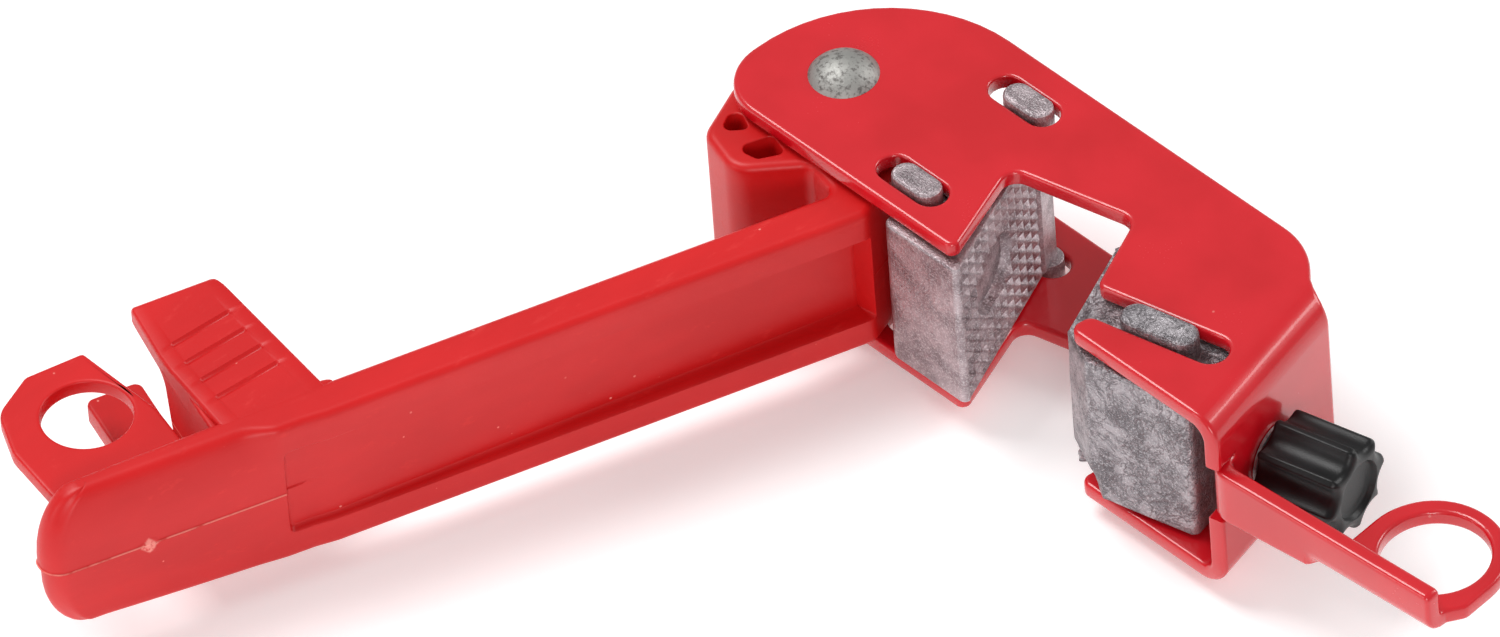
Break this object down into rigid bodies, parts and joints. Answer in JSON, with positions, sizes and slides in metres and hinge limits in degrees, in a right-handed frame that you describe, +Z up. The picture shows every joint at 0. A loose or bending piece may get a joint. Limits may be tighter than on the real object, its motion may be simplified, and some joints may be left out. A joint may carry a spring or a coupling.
{
  "type": "clamp-on circuit breaker lockout",
  "caption": "Hand-closed lockout that clamps on a breaker toggle: bent steel frame, cam lever, toothed jaws, thumb screw and padlock eyes.",
  "frame": {"origin": "centre of the padlock hole in the frame's eye plate, half way through the plate", "axes": "+X along the frame's long edges, from the lever's pivot towards the padlock eye; +Y from the toggle mouth towards the frame's back edge; +Z up through the plates"},
  "size_m": [0.1988, 0.1771, 0.0436],
  "materials": {
    "powder_red": "gloss powder coat",
    "nylon_red": "satin moulded",
    "cast_satin": "satin die cast zinc",
    "cast_rough": "rough die cast zinc",
    "zinc_steel": "plated, lightly speckled",
    "turned_steel": "turned, oiled",
    "knob_black": "satin moulded"
  },
  "bodies": {
    "frame": {"frame": "powder_red", "web_nut": "turned_steel", "pivot_rivet": "zinc_steel", "rivet_washer": "zinc_steel", "pivot_sleeve": "turned_steel"},
    "lever": {"lever": "nylon_red", "spacer_upper": "turned_steel", "spacer_lower": "turned_steel"},
    "clamp_jaw": {"clamp_jaw": "cast_satin"},
    "adjust_jaw": {"adjust_jaw": "cast_rough"},
    "thumb_screw": {"screw_spindle": "turned_steel", "thumb_knob": "knob_black", "retaining_ring": "turned_steel"}
  },
  "joints": [
    {"name": "lever_swing", "type": "hinge", "parent": "frame", "child": "lever", "pos_m": [-0.1348, 0.001, -0.001], "axis": [0, 0, 1], "range_deg": [-253.3, 0]},
    {"name": "clamp_slide", "type": "slide", "parent": "frame", "child": "clamp_jaw", "axis": [1, 0, 0], "range_m": [0, 0.001]},
    {"name": "adjust_slide", "type": "slide", "parent": "frame", "child": "adjust_jaw", "axis": [0.9744, 0.225, 0], "range_m": [0, 0.0036]},
    {"name": "screw_spin", "type": "hinge", "parent": "adjust_jaw", "child": "thumb_screw", "pos_m": [-0.03205, 0.0005, -0.001], "axis": [0.9744, 0.225, 0], "range_deg": [0, 864]}
  ],
  "couplings": [
    {"joint": "clamp_slide", "follows": "lever_swing", "m_per_rad": -0.000226},
    {"joint": "screw_spin", "follows": "adjust_slide", "rad_per_m": 4188.8}
  ]
}
